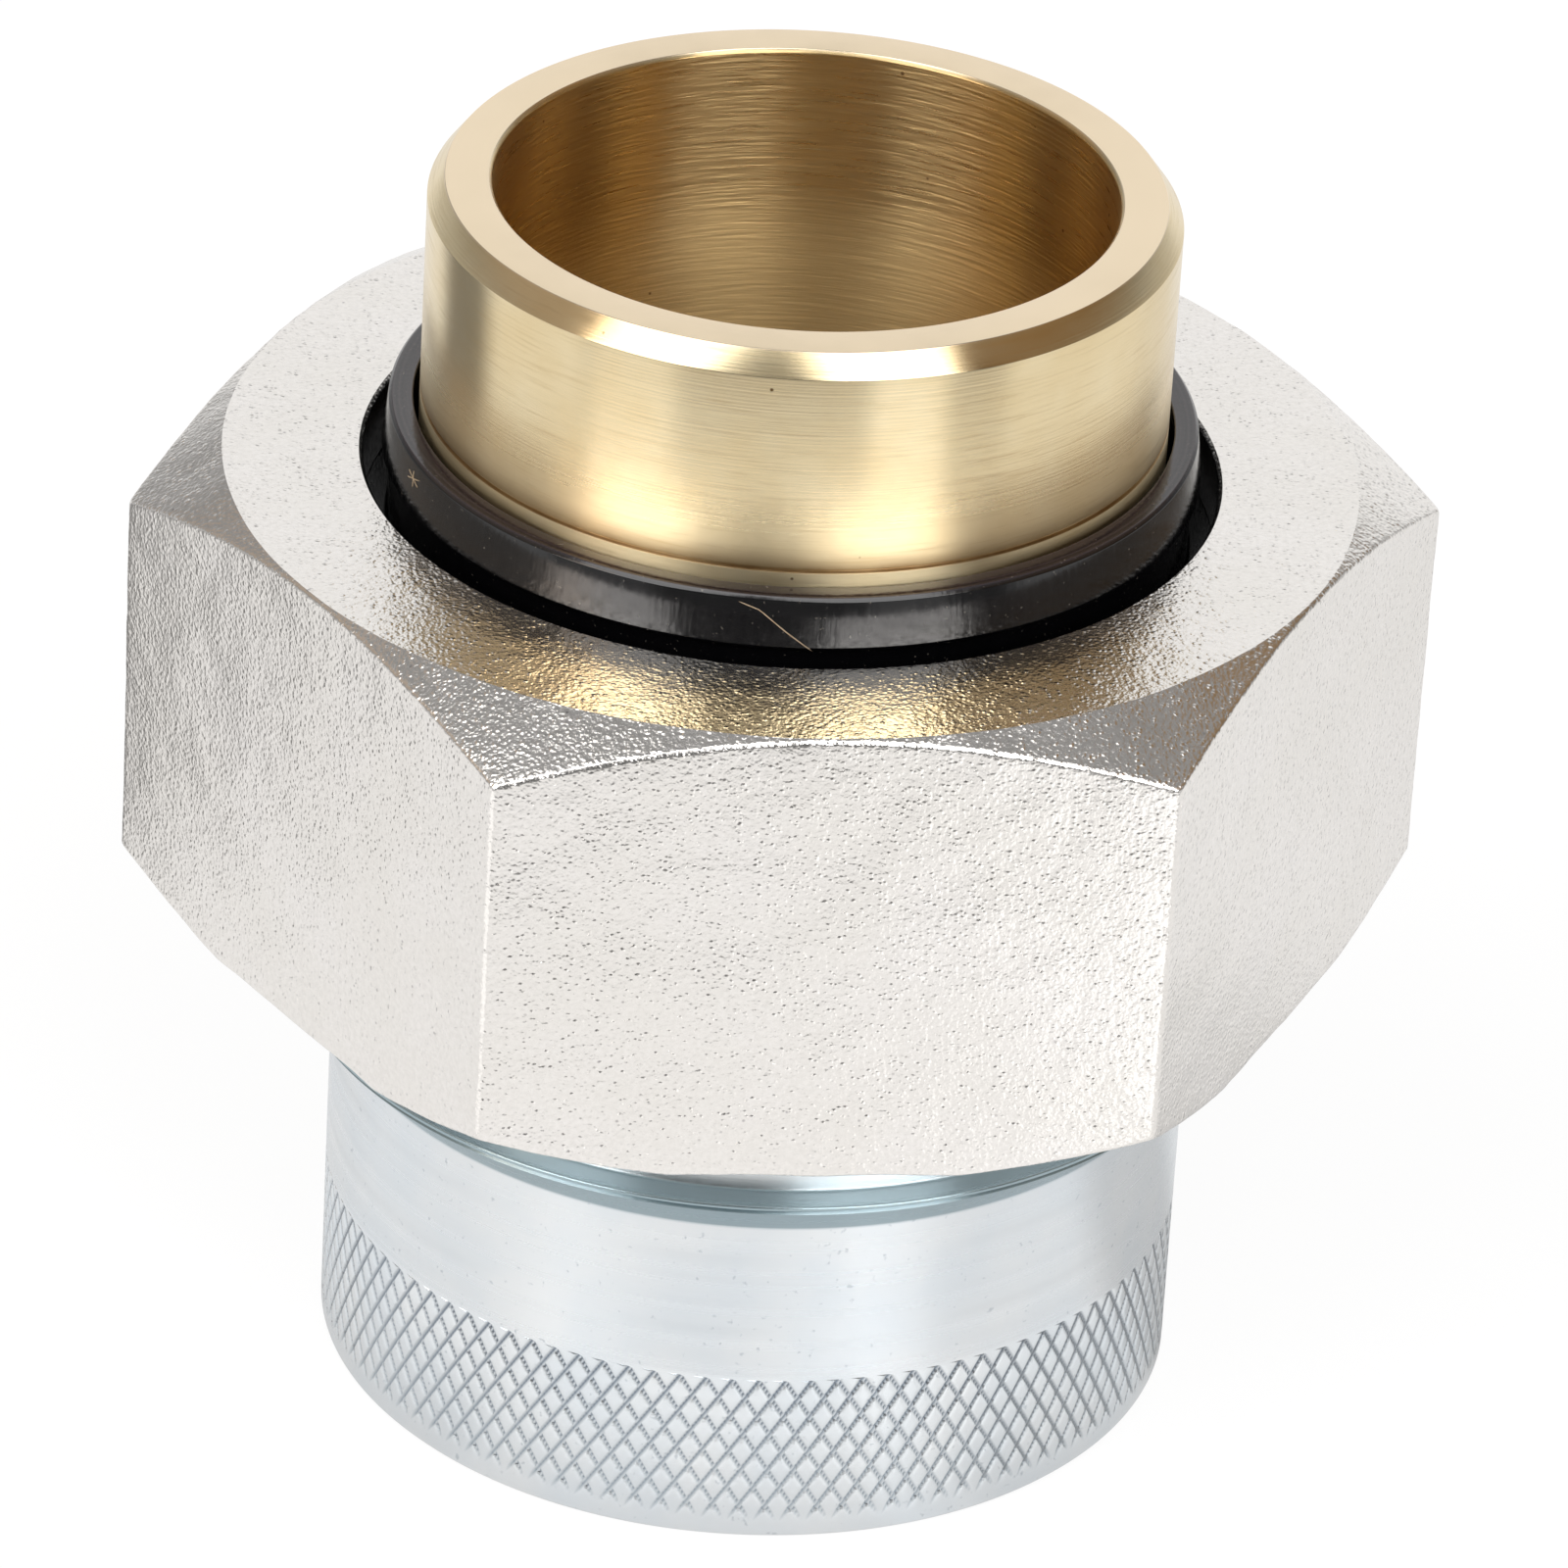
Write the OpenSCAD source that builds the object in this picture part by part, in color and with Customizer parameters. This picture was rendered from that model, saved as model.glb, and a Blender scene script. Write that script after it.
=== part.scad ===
// Dielectric union, 3/4 in nominal: a steel pipe end and a brass solder end, drawn together by a
// hexagon nut and kept apart by a rubber gasket and a plastic sleeve.
// Origin at the centre of the foot of the steel body, +Z up along the bore.

/* [Steel body] */
// Diameter of the female pipe thread in the foot, taken at mid height of its teeth
pipe_thread_d = 24.6; // [22:0.1:26]
// Depth of the threaded hole from the foot
pipe_thread_depth = 19; // [14:0.5:20]
// Width of the countersink at the foot, measured on the radius
pipe_mouth_bevel = 1.1; // [0.5:0.1:1.5]
// Wall between the pipe thread and the outside of the barrel
barrel_wall = 3.55; // [2.5:0.05:4.5]
// Height of the barrel from the foot to its upper edge
barrel_h = 13.3; // [11:0.05:15]
// Bevel round the foot
foot_bevel = 0.2; // [0.1:0.05:0.5]
// Height of the cone that widens from the barrel to the shoulder
shoulder_cone_h = 1.9; // [1:0.1:3]
// Width of the turned groove between the shoulder and the union thread
groove_w = 1.4; // [0.8:0.1:2]
// Length of the union thread
thread_len = 9.7; // [8:0.1:12]
// Bevel at the top of the union thread
thread_bevel = 0.9; // [0.4:0.1:1]
// Diameter of the water passage above the threaded hole
passage_d = 21; // [18:0.5:22]

/* [Knurl] */
// Height of the knurl's lower edge above the foot
knurl_z = 0.65; // [0.5:0.05:2]
// Height of one diamond
diamond_h = 1.525; // [1.2:0.005:1.7]
// Diamonds stacked over the height of the band
diamond_rows = 4; // [2:1:5]
// Diamonds round the barrel
diamond_count = 104; // [60:2:120]
// Depth of the grooves between the diamonds
knurl_depth = 0.26; // [0.1:0.01:0.35]

/* [Union thread] */
// Pitch of the union thread, 14 turns to the inch
thread_pitch = 1.814; // [1.4:0.001:2.1]
// Gap on the radius between the body's thread and the nut's thread
thread_gap = 0.2; // [0.1:0.05:0.3]

/* [Gasket] */
// Thickness of the gasket
gasket_t = 1.6; // [1:0.1:3]
// Setback of the gasket's outer edge from the root of the union thread
gasket_inset = 0.3; // [0.1:0.1:1]
// Setback of the gasket's inner edge from the water passage
gasket_bore_inset = 0.3; // [0.1:0.1:1]

/* [Brass tailpiece] */
// Bore that the copper tube is soldered into
socket_d = 22.33; // [20:0.01:24]
// Wall of the tailpiece round the socket
tail_wall = 2.28; // [1.8:0.005:3]
// Width of the ledge that stops the tube
stop_w = 1.365; // [0.8:0.005:2]
// Thickness of the ledge that stops the tube
stop_t = 1.9; // [1:0.1:3]
// Thickness of the flange that presses on the gasket
flange_t = 4; // [2.5:0.1:6]
// Height of the rim above the top of the plastic collar
rim_stand = 8.75; // [4:0.05:14]
// Width of the bevel round the outside of the rim, measured on the radius
rim_bevel_w = 0.6; // [0.3:0.05:1.2]
// Height of that bevel
rim_bevel_h = 0.8; // [0.3:0.05:1.5]
// Setback of the flange's edge from the edge of the sleeve's flange
tail_flange_inset = 0.1; // [0.05:0.05:0.5]
// Bevel at the mouth of the socket
mouth_bevel = 0.15; // [0.05:0.05:0.5]

/* [Plastic sleeve] */
// Gap on the radius between the brass tube and the sleeve
sleeve_gap = 0.22; // [0.1:0.01:0.4]
// Wall of the sleeve where it passes through the nut
sleeve_wall = 0.78; // [0.6:0.01:1.4]
// How far the collar's lower edge stands out from the sleeve
collar_flare = 0.3; // [0.1:0.01:0.5]
// How far the collar's side draws in from its lower edge to its top bevel
collar_draw = 0.2; // [0.05:0.01:0.4]
// Bevel round the top of the collar
collar_bevel = 0.12; // [0.05:0.01:0.3]
// Height of the collar's lower edge above the nut
collar_edge_stand = 0.35; // [0.2:0.05:0.8]
// Height of the collar's top above the nut
collar_stand = 2.2; // [1.5:0.05:4]
// Thickness of the sleeve's flange under the nut's lip
sleeve_flange_t = 1.5; // [1:0.1:3]
// How far the sleeve's flange reaches under the nut's lip, measured on the radius
lip_overlap = 0.93; // [0.7:0.01:1.5]

/* [Hexagon nut] */
// Height of the nut
nut_h = 17.65; // [15:0.05:20]
// Thickness of the lip that bears on the sleeve's flange
lip_t = 2.6; // [1.8:0.1:4]
// Gap on the radius between the collar's lower edge and the hole in the lip
hole_gap = 0.65; // [0.4:0.01:1]
// Bevel at the top of the hole in the lip
hole_bevel = 0.2; // [0.1:0.05:0.4]
// Gap on the radius between the sleeve's flange and the crests of the nut's thread
flange_gap = 0.25; // [0.15:0.01:0.4]
// Wall between the root of the nut's thread and a flat
nut_wall = 2.92; // [2.2:0.01:4]
// Setback of the top face's bevel circle from the flats
top_circle_inset = 0.15; // [0.05:0.05:0.8]
// How far the foot's bevel circle reaches past the flats, so that it cuts the corners alone
foot_circle_reach = 0.4; // [0.1:0.05:1.2]
// Slope of the bevels on the nut's corners
corner_slope = 30; // [15:1:35]
// Bevel at the mouth of the nut's thread
nut_mouth_bevel = 0.8; // [0.4:0.1:1]

/* [Hidden] */

$fn = 96;

// Margin by which a cutting shape passes the surface it cuts
over = 1;

// Depth of a 60 degree thread as a share of its pitch
thread_form = 0.6134;
thread_depth = thread_form * thread_pitch;

// Radii, worked outwards from the solder socket
socket_r = socket_d / 2;
tail_passage_r = socket_r - stop_w;
tube_r = socket_r + tail_wall;
sleeve_bore_r = tube_r + sleeve_gap;
sleeve_r = sleeve_bore_r + sleeve_wall;
collar_r = sleeve_r + collar_flare;
hole_r = collar_r + hole_gap;
flange_r = hole_r + lip_overlap;
nut_crest_r = flange_r + flange_gap;
nut_root_r = nut_crest_r + thread_depth;
nut_flat_r = nut_root_r + nut_wall;
thread_r = nut_root_r - thread_gap;
thread_root_r = thread_r - thread_depth;

// Radii of the body's foot, worked outwards from the pipe thread
pipe_thread_r = pipe_thread_d / 2;
barrel_r = pipe_thread_r + barrel_wall;
passage_r = passage_d / 2;

// Heights, from the foot upwards
shoulder_z = barrel_h + shoulder_cone_h;
thread_z = shoulder_z + groove_w;
seat_z = thread_z + thread_len;
flange_z = seat_z + gasket_t;
sleeve_z = flange_z + flange_t;
lip_z = sleeve_z + sleeve_flange_t;
nut_top_z = lip_z + lip_t;
nut_foot_z = nut_top_z - nut_h;
collar_edge_z = nut_top_z + collar_edge_stand;
collar_top_z = nut_top_z + collar_stand;
rim_z = collar_top_z + rim_stand;

// Cylinder along Z from one height to another
module rod(r, z0, z1) {
    translate([0, 0, z0]) cylinder(r = r, h = z1 - z0);
}

// Cone along Z from one height and radius to another
module cone(r0, z0, r1, z1) {
    translate([0, 0, z0]) cylinder(r1 = r0, r2 = r1, h = z1 - z0);
}

// Ring round the barrel whose inner wall is the surface of a diamond knurl. Points a half diamond
// apart alternate between crest and root, so that the grooves follow the diagonals.
module knurl_cutter() {
    columns = 2 * diamond_count;
    levels = 2 * diamond_rows;
    level_h = diamond_h / 2;
    wall_r = barrel_r + over;
    crest_r = barrel_r - 0.01;
    root_r = crest_r - knurl_depth;
    // Straight chords between the points of the wall stay outside the barrel
    points = [
        for (j = [0:levels], i = [0:columns - 1])
            let (a = 360 * i / columns, r = (i + j) % 2 == 0 ? root_r : crest_r)
            [r * cos(a), r * sin(a), knurl_z + j * level_h],
        for (j = [0, levels], i = [0:columns - 1])
            let (a = 360 * i / columns)
            [wall_r * cos(a), wall_r * sin(a), knurl_z + j * level_h]
    ];
    wall = (levels + 1) * columns;
    top = levels * columns;
    function next(i) = (i + 1) % columns;
    // Each cell is split along the groove that crosses it
    inner_faces = [
        for (j = [0:levels - 1], i = [0:columns - 1])
            let (a = j * columns + i, b = j * columns + next(i))
            each (i + j) % 2 == 0
                ? [[a, b, b + columns], [a, b + columns, a + columns]]
                : [[a, b, a + columns], [b, b + columns, a + columns]]
    ];
    outer_faces = [
        for (i = [0:columns - 1])
            let (a = wall + i, b = wall + next(i))
            [a, a + columns, b + columns, b]
    ];
    foot_faces = [
        for (i = [0:columns - 1])
            [i, wall + i, wall + next(i), next(i)]
    ];
    top_faces = [
        for (i = [0:columns - 1])
            [top + i, top + next(i), wall + columns + next(i), wall + columns + i]
    ];
    polyhedron(points, concat(inner_faces, outer_faces, foot_faces, top_faces));
}

// Body turned from round bar: knurled barrel, shoulder, relief groove and union thread. The union
// thread is a plain cylinder at its outside diameter.
module body() {
    color("gainsboro")
    difference() {
        rotate_extrude() polygon([
            [0, 0],
            [barrel_r - foot_bevel, 0],
            [barrel_r, foot_bevel],
            [barrel_r, barrel_h],
            [thread_r, shoulder_z],
            [thread_root_r, shoulder_z],
            [thread_root_r, thread_z],
            [thread_r, thread_z],
            [thread_r, seat_z - thread_bevel],
            [thread_r - thread_bevel, seat_z],
            [0, seat_z]
        ]);
        knurl_cutter();
        rod(pipe_thread_r, -over, pipe_thread_depth);
        rod(passage_r, -over, seat_z + over);
        cone(pipe_thread_r + pipe_mouth_bevel + over, -over, pipe_thread_r, pipe_mouth_bevel);
    }
}

// Flat rubber ring on the body's seat
module gasket() {
    color("dimgray")
    difference() {
        rod(thread_root_r - gasket_inset, seat_z, flange_z);
        rod(passage_r + gasket_bore_inset, seat_z - over, flange_z + over);
    }
}

// Brass solder end, turned in one piece with its flange
module tailpiece() {
    color("burlywood")
    difference() {
        union() {
            rod(tube_r, flange_z, rim_z - rim_bevel_h);
            cone(tube_r, rim_z - rim_bevel_h, tube_r - rim_bevel_w, rim_z);
            rod(flange_r - tail_flange_inset, flange_z, sleeve_z);
        }
        rod(socket_r, flange_z + stop_t, rim_z + over);
        rod(tail_passage_r, flange_z - over, rim_z);
        cone(socket_r, rim_z - mouth_bevel, socket_r + mouth_bevel + over, rim_z + over);
    }
}

// Plastic sleeve with a flange below the nut's lip and a collar above it
module insulator() {
    color([0.12, 0.12, 0.12])
    rotate_extrude() polygon([
        [sleeve_bore_r, sleeve_z],
        [flange_r, sleeve_z],
        [flange_r, lip_z],
        [sleeve_r, lip_z],
        [sleeve_r, collar_edge_z - collar_flare],
        [collar_r, collar_edge_z],
        [collar_r - collar_draw, collar_top_z - collar_bevel],
        [collar_r - collar_draw - collar_bevel, collar_top_z],
        [sleeve_bore_r, collar_top_z]
    ]);
}

// Hexagon nut with bevelled corners, a lip at the top and a bore for the union thread. The thread
// is a plain bore at the root diameter.
module nut() {
    top_circle_r = nut_flat_r - top_circle_inset;
    foot_circle_r = nut_flat_r + foot_circle_reach;
    corner_r = nut_flat_r / cos(30);
    outer_r = corner_r + over;
    top_drop = (outer_r - top_circle_r) * tan(corner_slope);
    foot_rise = (outer_r - foot_circle_r) * tan(corner_slope);
    mouth_r = nut_root_r + nut_mouth_bevel;
    color("silver")
    difference() {
        intersection() {
            translate([0, 0, nut_foot_z]) cylinder(r = corner_r, h = nut_h, $fn = 6);
            rotate_extrude() polygon([
                [0, nut_foot_z],
                [foot_circle_r, nut_foot_z],
                [outer_r, nut_foot_z + foot_rise],
                [outer_r, nut_top_z - top_drop],
                [top_circle_r, nut_top_z],
                [0, nut_top_z]
            ]);
        }
        rod(nut_root_r, nut_foot_z - over, lip_z);
        rod(hole_r, lip_z - over, nut_top_z + over);
        cone(hole_r, nut_top_z - hole_bevel, hole_r + hole_bevel + over, nut_top_z + over);
        cone(mouth_r + over, nut_foot_z - over, nut_root_r, nut_foot_z + nut_mouth_bevel);
    }
}

body();
gasket();
tailpiece();
insulator();
nut();
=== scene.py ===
import bmesh
import bpy
import numpy as np
from mathutils import Matrix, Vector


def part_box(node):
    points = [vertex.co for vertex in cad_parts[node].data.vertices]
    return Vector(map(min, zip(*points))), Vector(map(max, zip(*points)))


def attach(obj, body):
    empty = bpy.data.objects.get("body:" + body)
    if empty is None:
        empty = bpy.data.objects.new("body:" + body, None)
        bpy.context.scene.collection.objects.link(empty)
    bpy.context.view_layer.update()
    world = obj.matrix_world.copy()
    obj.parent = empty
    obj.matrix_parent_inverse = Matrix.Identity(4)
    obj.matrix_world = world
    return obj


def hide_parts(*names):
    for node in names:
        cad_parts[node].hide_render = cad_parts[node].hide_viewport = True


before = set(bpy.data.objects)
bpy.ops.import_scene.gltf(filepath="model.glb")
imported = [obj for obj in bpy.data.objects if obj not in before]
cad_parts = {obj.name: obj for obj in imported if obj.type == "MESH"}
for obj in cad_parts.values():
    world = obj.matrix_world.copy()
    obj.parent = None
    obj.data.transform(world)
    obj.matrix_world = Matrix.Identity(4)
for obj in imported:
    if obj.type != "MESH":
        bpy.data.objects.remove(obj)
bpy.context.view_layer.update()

# Steel body. A length of round bar, turned to a barrel, a cone and a shoulder, with a diamond knurl
# rolled into the barrel's foot. Its foot is tapped with a taper pipe thread and its top is cut with
# the union thread. It is plated with bright zinc. All sizes here are in millimetres.
MM = 0.001
TURN = 2 * np.pi
CREASE = 28
MERGE_DISTANCE = 0.0002
BODY_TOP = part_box("body")[1]
UNION_THREAD_R = BODY_TOP.x / MM
SEAT_Z = BODY_TOP.z / MM
THREAD_PITCH = 1.814
THREAD_DEPTH = 0.6134 * THREAD_PITCH
UNION_THREAD_Z = 16.6
UNION_THREAD_BEVEL = 0.9
BARREL_R = 15.85
BARREL_H = 13.3
FOOT_BEVEL = 0.2
SHOULDER_Z = 15.2
SHOULDER_EDGE = 0.16
# The cone's top end and the notch above it, in from the shoulder's radius and down from its top
CONE_END_IN = 0.15
CONE_END_DOWN = 0.4
NOTCH_IN = 0.3
NOTCH_DOWN = 0.26
KNURL_Z = 0.65
KNURL_ROWS = 4
KNURL_COUNT = 104
DIAMOND_H = 1.525
DIAMOND_STEPS = 10
KNURL_TOP = KNURL_Z + KNURL_ROWS * DIAMOND_H
KNURL_DEPTH = 0.11
KNURL_END = 0.06
# A groove's half width and the run-out at the foot, as shares of half a diamond and of a whole one
GROOVE_SHARE = 0.32
RUN_OUT_SHARE = 0.35
PIPE_THREAD_R = 12.3
PIPE_THREAD_Z = 19
PIPE_THREAD_DEPTH = 0.8 * THREAD_PITCH
PIPE_THREAD_END = 0.3
PIPE_MOUTH_BEVEL = 1.1
PIPE_TAPER = 1 / 32
PASSAGE_R = 10.5
ZINC_DIM = (0.80, 0.845, 0.88)
ZINC_BRIGHT = (0.86, 0.885, 0.90)
ZINC_SPECK = (0.45, 0.50, 0.55)
# Painted shade: the cone's darker blue-grey stands in for its reflection of the shade under the nut
CONE_SHADE_TINT = (0.40, 0.50, 0.54)
# Painted light: the paler notch stands in for light falling under the nut
NOTCH_LIGHT_TINT = (0.95, 0.97, 0.98)
# Painted shade in the knurl's grooves, deeper towards the top
LOW_GROOVE_SHADE = (0.46, 0.52, 0.57)
HIGH_GROOVE_SHADE = (0.16, 0.20, 0.25)


def on_circles(radius, height, angle):
    """Points round the Z axis: x is radius times the cosine of the angle, y is radius times its sine,
    and z is the height. In a grid, rows follow the piece's profile and columns go round it."""
    radius, height, angle = np.broadcast_arrays(radius, height, angle)
    return np.stack([radius * np.cos(angle), radius * np.sin(angle), height], axis=-1)


def unit(vector):
    """Vectors divided by their own lengths, each vector along the last axis."""
    return vector / np.linalg.norm(vector, axis=-1, keepdims=True)


def corner_arc(before, corner, after, radius, steps=5):
    """Arc that rounds one corner of a profile. It leaves each leg at the radius over the tangent of half
    the corner's angle, and its centre is on the line that halves the angle."""
    to_before, to_after = unit(before - corner), unit(after - corner)
    half = np.arccos(np.clip(to_before @ to_after, -1, 1)) / 2
    centre = corner + unit(to_before + to_after) * radius / np.sin(half)
    start = corner + to_before * radius / np.tan(half) - centre
    end = corner + to_after * radius / np.tan(half) - centre
    sweep = np.pi - 2 * half
    share = np.linspace(0, 1, steps)[:, None]
    return centre + (np.sin((1 - share) * sweep) * start + np.sin(share * sweep) * end) / np.sin(sweep)


def profile(*corners):
    """Radii and heights along a profile, as two columns. A corner is (radius, height) or (radius,
    height, rounding), and the first and last are never rounded."""
    places = [np.array(corner[:2], float) for corner in corners]
    runs = [places[0][None]]
    for before, place, after, corner in zip(places, places[1:], places[2:], corners[1:]):
        rounding = corner[2] if len(corner) > 2 else 0
        runs.append(corner_arc(before, place, after, rounding) if rounding else place[None])
    runs.append(places[-1][None])
    path = np.concatenate(runs)
    return path[:, :1], path[:, 1:]


def helix(start_z, end_z, angle, root_r, crest_r, root_z):
    """Radii and heights of a right-hand thread between two heights. A root passes angle zero at root_z, and
    rows climb one pitch a turn and are clipped at both ends. The tooth is a trapezium with 60 degrees
    between its flanks: its knots are shares of the pitch, from the middle of one root to the next."""
    knots = np.array([0, 0.0835, 0.26, 0.4375, 0.5, 0.5625, 0.74, 0.9165])
    tooth = np.array([0, 0, 0.5, 1, 1, 1, 0.5, 0])
    low, high = sorted([start_z, end_z])
    first = np.floor((low - root_z) / THREAD_PITCH) - 1
    turns = int(np.ceil((high - low) / THREAD_PITCH)) + 3
    rows = (first + np.arange(turns)[:, None] + knots).reshape(-1, 1)
    height = np.clip(root_z + THREAD_PITCH * (rows + angle / TURN), low, high)
    phase = (height - root_z) / THREAD_PITCH - angle / TURN
    share = np.interp(phase % 1, knots, tooth, period=1)
    radius = root_r + share * (crest_r - root_r)
    return (radius, height) if end_z > start_z else (radius[::-1], height[::-1])


def coarse(angle, step):
    """Angles with only every step-th column kept: the columns between take their left neighbour's."""
    return angle[np.arange(angle.size) // step * step]


def shell(name, *grids):
    """One closed mesh from grids of points in millimetres that meet along their edges. Each cell of a grid
    is a face that runs from a point to the next column, the next row and back. Points that coincide are
    merged, and edges sharper than the crease angle stay sharp."""
    faces = []
    first = 0
    for grid in grids:
        rows, columns = grid.shape[:2]
        number = first + np.arange(rows * columns).reshape(rows, columns)
        corners = [number[:-1, :-1], number[:-1, 1:], number[1:, 1:], number[1:, :-1]]
        faces.append(np.stack(corners, axis=-1).reshape(-1, 4))
        first += rows * columns
    faces = np.concatenate(faces)
    points = np.concatenate([grid.reshape(-1, 3) for grid in grids]) * MM
    mesh = bpy.data.meshes.new(name)
    mesh.vertices.add(len(points))
    mesh.vertices.foreach_set("co", points.ravel())
    mesh.loops.add(faces.size)
    mesh.loops.foreach_set("vertex_index", faces.ravel())
    mesh.polygons.add(len(faces))
    mesh.polygons.foreach_set("loop_start", np.arange(len(faces)) * 4)
    mesh.update(calc_edges=True)
    tidy = bmesh.new()
    tidy.from_mesh(mesh)
    bmesh.ops.remove_doubles(tidy, verts=tidy.verts, dist=MERGE_DISTANCE * MM)
    tidy.to_mesh(mesh)
    tidy.free()
    mesh.validate()
    mesh.shade_smooth()
    mesh.set_sharp_from_angle(angle=np.radians(CREASE))
    piece = bpy.data.objects.new(name, mesh)
    bpy.context.collection.objects.link(piece)
    return piece


def new_material(name):
    """Empty node material, with its tree, its Principled shader and the object's own coordinates."""
    material = bpy.data.materials.new(name)
    material.use_nodes = True
    tree = material.node_tree
    shader = tree.nodes["Principled BSDF"]
    place = tree.nodes.new("ShaderNodeTexCoord").outputs["Object"]
    return material, tree, shader, place


def add(tree, kind, inputs, **settings):
    """Adds a shader node. Settings are its properties, and inputs are values or other nodes' sockets."""
    node = tree.nodes.new("ShaderNode" + kind)
    for key, value in settings.items():
        setattr(node, key, value)
    for key, value in inputs.items():
        if isinstance(value, bpy.types.NodeSocket):
            tree.links.new(value, node.inputs[key])
        else:
            node.inputs[key].default_value = value
    return node


def compute(tree, operation, *values):
    """Output of a Math node."""
    return add(tree, "Math", dict(enumerate(values)), operation=operation).outputs[0]


def noise(tree, place, scale, detail=3, stretch=(1, 1, 1)):
    """Noise of the given scale per metre at a place, drawn out by dividing the scale along each axis."""
    mapping = add(tree, "Mapping", {"Vector": place, "Scale": [scale / s for s in stretch]})
    inputs = {"Vector": mapping.outputs[0], "Scale": 1.0, "Detail": detail, "Roughness": 0.5}
    return add(tree, "TexNoise", inputs).outputs["Fac"]


def spread(tree, value, low, high, to_low=0.0, to_high=1.0):
    """Stretches values from low to high over another range, and clamps them to it."""
    inputs = {"Value": value, "From Min": low, "From Max": high, "To Min": to_low, "To Max": to_high}
    return add(tree, "MapRange", inputs).outputs["Result"]


def ramp(tree, size, low, high, to_low=0.0, to_high=1.0):
    """Spread for a length that the tree has in metres, with its limits in millimetres."""
    return spread(tree, size, low * MM, high * MM, to_low, to_high)


def blend(tree, share, first, second):
    """Mixes two colours, each a socket or red, green and blue."""
    node = add(tree, "Mix", {0: share}, data_type="RGBA", blend_type="MIX")
    for socket, colour in ((node.inputs[6], first), (node.inputs[7], second)):
        if isinstance(colour, bpy.types.NodeSocket):
            tree.links.new(colour, socket)
        else:
            socket.default_value = (*colour, 1)
    return node.outputs[2]


def turned(tree, place):
    """A place as its radius, nothing and its height, so that noise on it runs in unbroken lines round the
    axis, as the marks of a lathe tool do."""
    flat = add(tree, "Mapping", {"Vector": place, "Scale": (1, 1, 0)}).outputs[0]
    radius = add(tree, "VectorMath", {0: flat}, operation="LENGTH").outputs["Value"]
    height = add(tree, "SeparateXYZ", {0: place}).outputs[2]
    return add(tree, "CombineXYZ", {"X": radius, "Z": height}).outputs[0], radius, height


def bump(tree, height, distance, under=None):
    """Surface relief of a height from 0 to 1 times a distance in metres, on top of what lies under it."""
    inputs = {"Height": height, "Distance": distance, "Strength": 1.0}
    if under is not None:
        inputs["Normal"] = under
    return add(tree, "Bump", inputs).outputs["Normal"]


def wire(tree, shader, **sockets):
    """Links sockets to the shader's inputs, whose names are given with _ for a space."""
    for key, socket in sockets.items():
        tree.links.new(socket, shader.inputs[key.replace("_", " ")])


def brush_round(tree, shader):
    """Makes a shader metal brushed round the Z axis, which draws its reflections out upright."""
    tangent = add(tree, "Tangent", {}, direction_type="RADIAL", axis="Z")
    wire(tree, shader, Tangent=tangent.outputs[0])
    shader.inputs["Metallic"].default_value = 1.0
    shader.inputs["Anisotropic"].default_value = 0.85
    shader.inputs["Anisotropic Rotation"].default_value = 0.25


def knurl(angle):
    """Radii and heights of the diamond knurl. Straight grooves climb to the left and to the right, one
    diamond's height for one's width. A groove is a V: its depth falls evenly from its middle to its
    edge, and it runs out at the knurl's foot."""
    level = np.linspace(0, KNURL_ROWS, DIAMOND_STEPS * KNURL_ROWS + 1)[:, None]
    column = angle * KNURL_COUNT / TURN
    to_left = 2 * np.abs((column + level + 0.5) % 1 - 0.5)
    to_right = 2 * np.abs((column - level + 0.5) % 1 - 0.5)
    groove = 1 - np.clip(np.minimum(to_left, to_right) / GROOVE_SHARE, 0, 1)
    radius = BARREL_R - KNURL_DEPTH * groove * np.clip(level / RUN_OUT_SHARE, 0, 1)
    return radius, KNURL_Z + level * DIAMOND_H


def pipe_thread(angle):
    """Radii and heights of the taper pipe thread, from its end inside the body down to its bevelled mouth.
    Its radius grows with the distance below its middle by the taper."""
    half_tooth = PIPE_THREAD_DEPTH / 2
    radius, height = helix(PIPE_THREAD_Z, 0, angle, -half_tooth, half_tooth, 0)
    radius = radius + PIPE_THREAD_R + PIPE_TAPER * (PIPE_THREAD_Z / 2 - height)
    return np.maximum(radius, PIPE_THREAD_R + PIPE_MOUTH_BEVEL - height), height


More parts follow.
